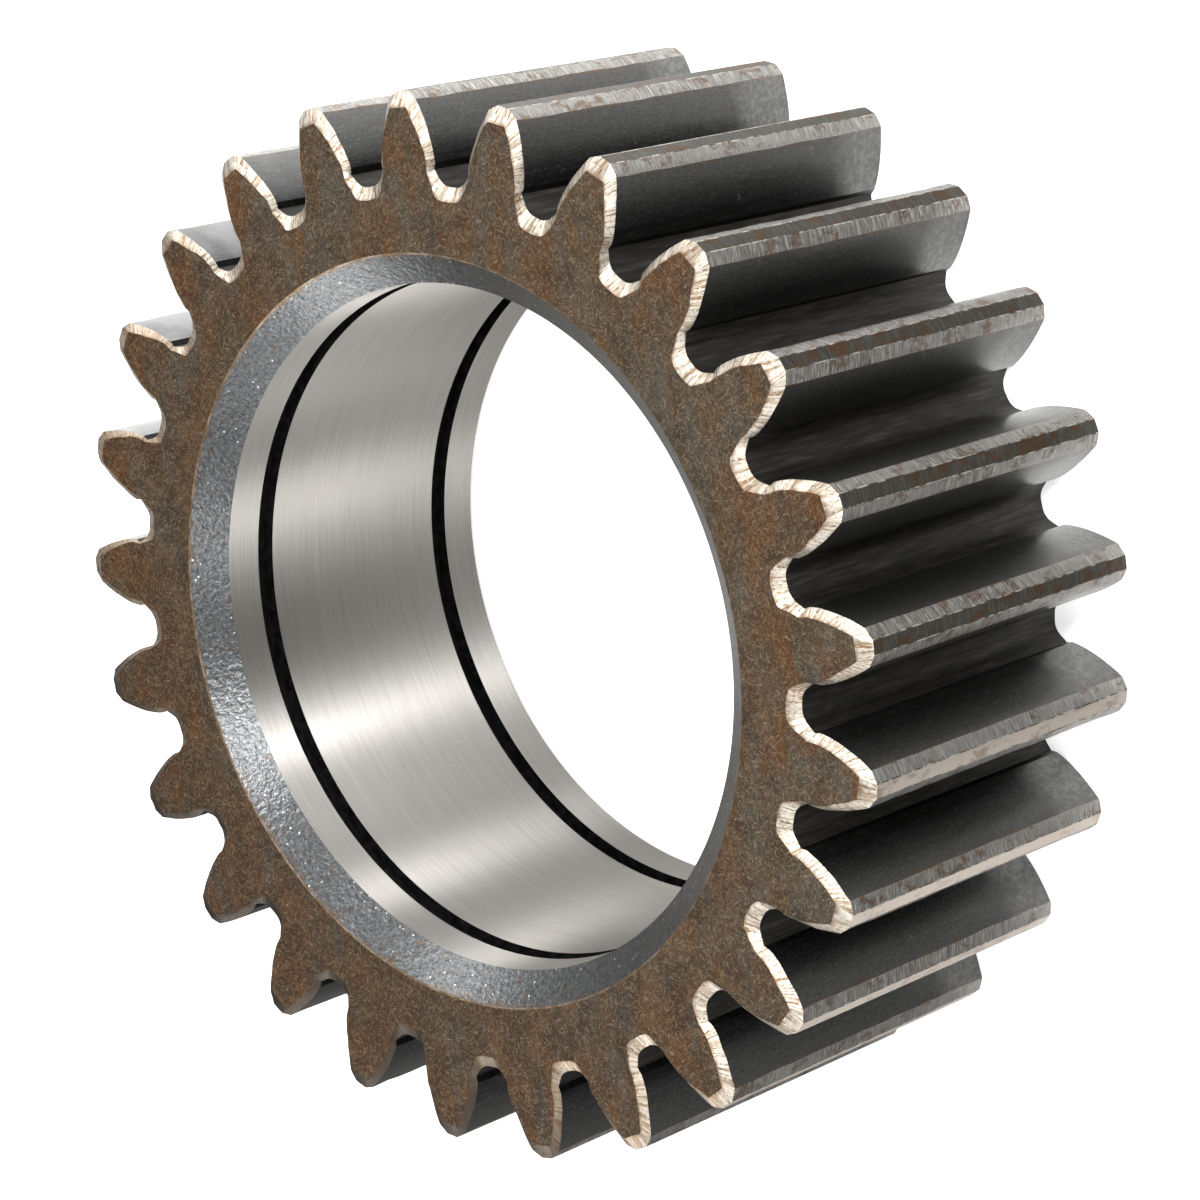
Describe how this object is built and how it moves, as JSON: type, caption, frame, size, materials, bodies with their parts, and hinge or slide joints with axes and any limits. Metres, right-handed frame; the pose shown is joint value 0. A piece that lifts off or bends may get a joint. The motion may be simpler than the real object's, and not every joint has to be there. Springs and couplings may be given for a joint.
{
  "type": "planet gear",
  "caption": "Straight-toothed steel planet gear ring with a ground bearing bore, a snap-ring groove near each end of the bore and trimmed front tooth edges.",
  "frame": {"origin": "on the bore axis at the back end face, which the gear lies on", "axes": "+Z along the bore axis from the back face to the front face, the one with the wide bore chamfer; +X through the middle of one tooth"},
  "size_m": [0.2153, 0.2158, 0.08],
  "materials": {
    "gear_steel": "hardened steel with a brown rusty patina on the end faces, dark flanks, bright hand-trimmed tooth ends and a ground bore"
  },
  "bodies": {
    "root": {"planet_gear": "gear_steel"}
  },
  "joints": []
}
